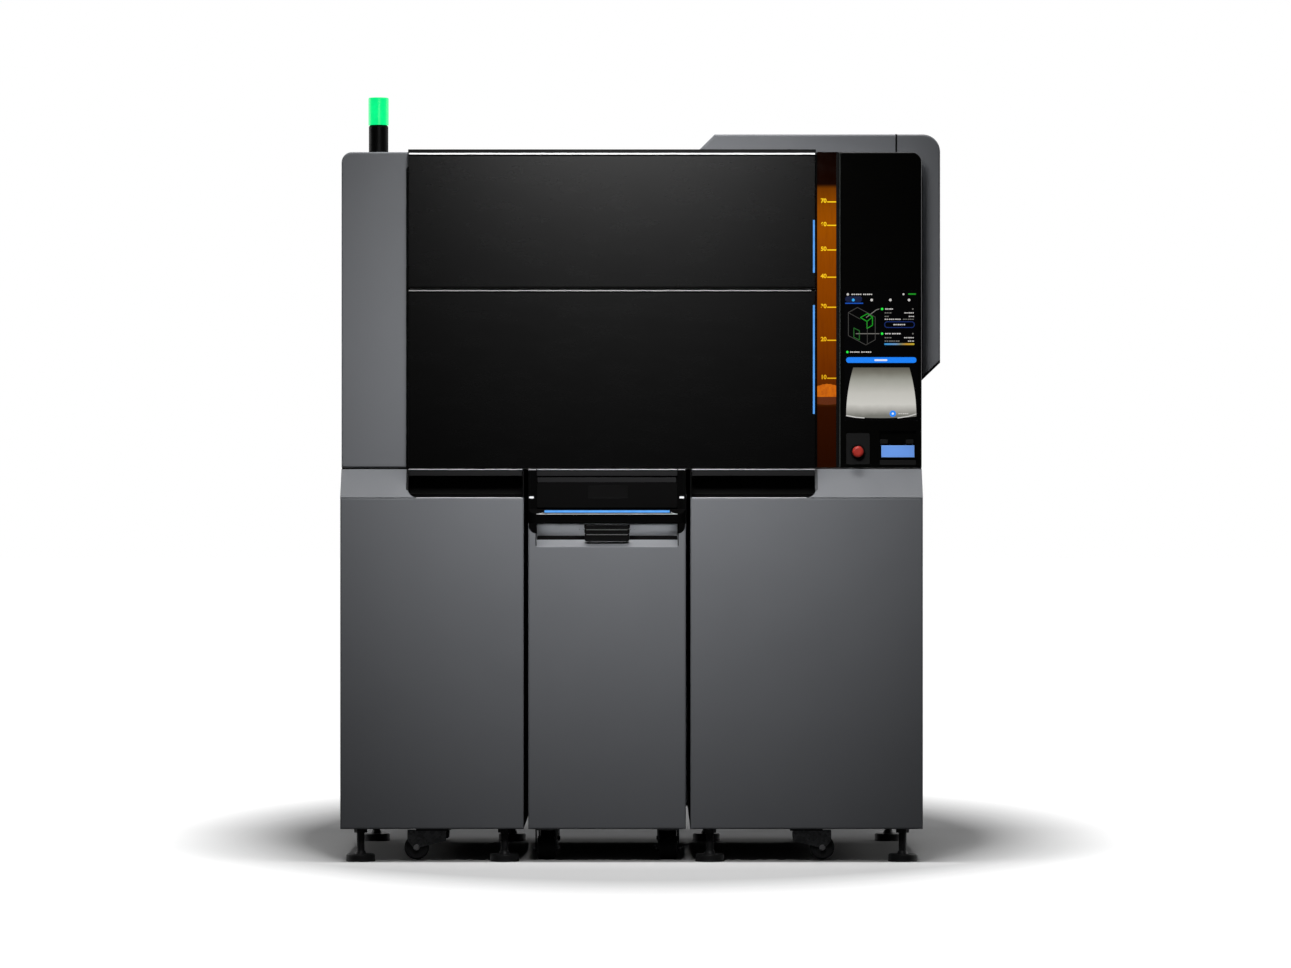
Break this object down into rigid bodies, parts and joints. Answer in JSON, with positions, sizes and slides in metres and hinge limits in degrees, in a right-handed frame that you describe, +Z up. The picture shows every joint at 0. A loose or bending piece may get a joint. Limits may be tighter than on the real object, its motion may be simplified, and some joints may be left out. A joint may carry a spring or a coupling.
{
  "type": "powder-bed 3d printer",
  "caption": "Industrial laser-sintering printer with a rolling build cart, black doors, an amber hopper window, a touch screen, a signal beacon and levelling feet",
  "frame": {"origin": "on the floor, under the middle of the outline", "axes": "+Z up, the front with the doors faces -Y, the control column is at +X"},
  "size_m": [1.6, 1.08, 2.035],
  "materials": {
    "body_grey": "satin",
    "frame_black": "satin",
    "door_black": "satin",
    "trim_black": "satin",
    "column_black": "gloss",
    "screen": "gloss",
    "amber_glass": "gloss",
    "light_blue": "satin",
    "beacon_green": "satin",
    "stop_red": "satin",
    "tag_blue": "satin",
    "chamber_metal": "satin",
    "machined_aluminium": "satin",
    "steel": "satin",
    "zinc": "satin",
    "wheel_black": "satin",
    "lamp_ceramic": "satin",
    "optic_glass": "gloss"
  },
  "bodies": {
    "cabinet": {"left_front_panel": "body_grey", "right_front_panel": "body_grey", "side_panels": "body_grey", "rear_panel": "body_grey", "shoulder_trim": "body_grey", "left_shroud": "body_grey", "roof_panel": "body_grey", "hood_top": "body_grey", "hood_side": "body_grey", "base_plates": "frame_black", "bay_walls": "frame_black", "caster_mounts": "frame_black", "recess_trim": "trim_black", "door_header": "trim_black", "beacon_base": "trim_black", "estop_collar": "trim_black", "control_column": "column_black", "display_panel": "screen", "hopper_window": "amber_glass", "beacon_lens": "beacon_green", "material_tag": "tag_blue", "chamber_walls": "chamber_metal", "chamber_ceiling": "chamber_metal", "deck_plate": "chamber_metal", "scan_head": "machined_aluminium", "laser_source": "machined_aluminium", "control_electronics": "machined_aluminium", "door_hinges": "steel", "recoater_rails": "steel", "powder_hopper": "steel", "heater_lamps": "lamp_ceramic", "optical_window": "optic_glass"},
    "levelling_feet": {"levelling_feet": "frame_black"},
    "upper_door": {"upper_door": "door_black", "upper_door_light": "light_blue"},
    "lower_door": {"lower_door": "door_black", "lower_door_light": "light_blue"},
    "cart": {"cart_chassis": "frame_black", "cart_front_panel": "body_grey", "cart_handle": "trim_black", "cart_light": "light_blue", "build_box": "steel", "lift_actuator": "steel"},
    "cart_latch": {"cart_latch": "trim_black"},
    "build_platform": {"build_platform": "steel"},
    "recoater_carriage": {"recoater_carriage": "machined_aluminium"},
    "recoater_roller": {"recoater_roller": "steel"},
    "estop_button": {"estop_button": "stop_red"},
    "front_left_caster_fork": {"front_left_caster_fork": "zinc"},
    "front_right_caster_fork": {"front_right_caster_fork": "zinc"},
    "cart_front_left_fork": {"cart_front_left_fork": "zinc"},
    "cart_front_right_fork": {"cart_front_right_fork": "zinc"},
    "front_left_caster_wheel": {"front_left_caster_wheel": "wheel_black"},
    "front_right_caster_wheel": {"front_right_caster_wheel": "wheel_black"},
    "rear_left_caster_wheel": {"rear_left_caster_wheel": "wheel_black"},
    "rear_right_caster_wheel": {"rear_right_caster_wheel": "wheel_black"},
    "cart_front_left_wheel": {"cart_front_left_wheel": "wheel_black"},
    "cart_front_right_wheel": {"cart_front_right_wheel": "wheel_black"},
    "cart_rear_left_wheel": {"cart_rear_left_wheel": "wheel_black"},
    "cart_rear_right_wheel": {"cart_rear_right_wheel": "wheel_black"}
  },
  "joints": [
    {"name": "upper_door_hinge", "type": "hinge", "parent": "cabinet", "child": "upper_door", "pos_m": [-0.6085, -0.503, 1.525], "axis": [0, 0, -1], "range_deg": [0, 100]},
    {"name": "lower_door_hinge", "type": "hinge", "parent": "cabinet", "child": "lower_door", "pos_m": [-0.6085, -0.503, 1.046], "axis": [0, 0, -1], "range_deg": [0, 100]},
    {"name": "cart_roll_out", "type": "slide", "parent": "cabinet", "child": "cart", "axis": [0, -1, 0], "range_m": [0, 0.75]},
    {"name": "cart_latch_pull", "type": "hinge", "parent": "cart", "child": "cart_latch", "pos_m": [-0.0925, -0.528, 0.8887], "axis": [-1, 0, 0], "range_deg": [0, 25], "stiffness_Nm_per_rad": 1},
    {"name": "platform_lift", "type": "slide", "parent": "cart", "child": "build_platform", "axis": [0, 0, 1], "range_m": [0, 0.335]},
    {"name": "recoater_travel", "type": "slide", "parent": "cabinet", "child": "recoater_carriage", "axis": [-1, 0, 0], "range_m": [0, 0.72]},
    {"name": "recoater_spin", "type": "hinge", "parent": "recoater_carriage", "child": "recoater_roller", "pos_m": [0.298, -0.19, 1.0785], "axis": [0, 1, 0], "continuous": true},
    {"name": "stop_press", "type": "slide", "parent": "cabinet", "child": "estop_button", "axis": [0, 1, 0], "range_m": [0, 0.006], "stiffness_N_per_m": 4000},
    {"name": "feet_adjust", "type": "slide", "parent": "cabinet", "child": "levelling_feet", "axis": [0, 0, 1], "range_m": [-0.03, 0]},
    {"name": "front_left_swivel", "type": "hinge", "parent": "cabinet", "child": "front_left_caster_fork", "pos_m": [-0.55675, -0.47, 0.088], "axis": [0, 0, 1], "continuous": true},
    {"name": "front_left_roll", "type": "hinge", "parent": "front_left_caster_fork", "child": "front_left_caster_wheel", "pos_m": [-0.59975, -0.47, 0.0365], "axis": [0, 1, 0], "continuous": true},
    {"name": "front_right_swivel", "type": "hinge", "parent": "cabinet", "child": "front_right_caster_fork", "pos_m": [0.43675, -0.47, 0.088], "axis": [0, 0, 1], "continuous": true},
    {"name": "front_right_roll", "type": "hinge", "parent": "front_right_caster_fork", "child": "front_right_caster_wheel", "pos_m": [0.47975, -0.47, 0.0365], "axis": [0, 1, 0], "continuous": true},
    {"name": "rear_left_roll", "type": "hinge", "parent": "cabinet", "child": "rear_left_caster_wheel", "pos_m": [-0.55675, 0.41, 0.0365], "axis": [1, 0, 0], "continuous": true},
    {"name": "rear_right_roll", "type": "hinge", "parent": "cabinet", "child": "rear_right_caster_wheel", "pos_m": [0.43675, 0.41, 0.0365], "axis": [1, 0, 0], "continuous": true},
    {"name": "cart_front_left_swivel", "type": "hinge", "parent": "cart", "child": "cart_front_left_fork", "pos_m": [-0.2555, -0.432, 0.088], "axis": [0, 0, 1], "continuous": true},
    {"name": "cart_front_left_roll", "type": "hinge", "parent": "cart_front_left_fork", "child": "cart_front_left_wheel", "pos_m": [-0.2555, -0.41, 0.0305], "axis": [1, 0, 0], "continuous": true},
    {"name": "cart_front_right_swivel", "type": "hinge", "parent": "cart", "child": "cart_front_right_fork", "pos_m": [0.0705, -0.432, 0.088], "axis": [0, 0, 1], "continuous": true},
    {"name": "cart_front_right_roll", "type": "hinge", "parent": "cart_front_right_fork", "child": "cart_front_right_wheel", "pos_m": [0.0705, -0.41, 0.0305], "axis": [1, 0, 0], "continuous": true},
    {"name": "cart_rear_left_roll", "type": "hinge", "parent": "cart", "child": "cart_rear_left_wheel", "pos_m": [-0.2555, 0.013, 0.0305], "axis": [1, 0, 0], "continuous": true},
    {"name": "cart_rear_right_roll", "type": "hinge", "parent": "cart", "child": "cart_rear_right_wheel", "pos_m": [0.0705, 0.013, 0.0305], "axis": [1, 0, 0], "continuous": true}
  ]
}
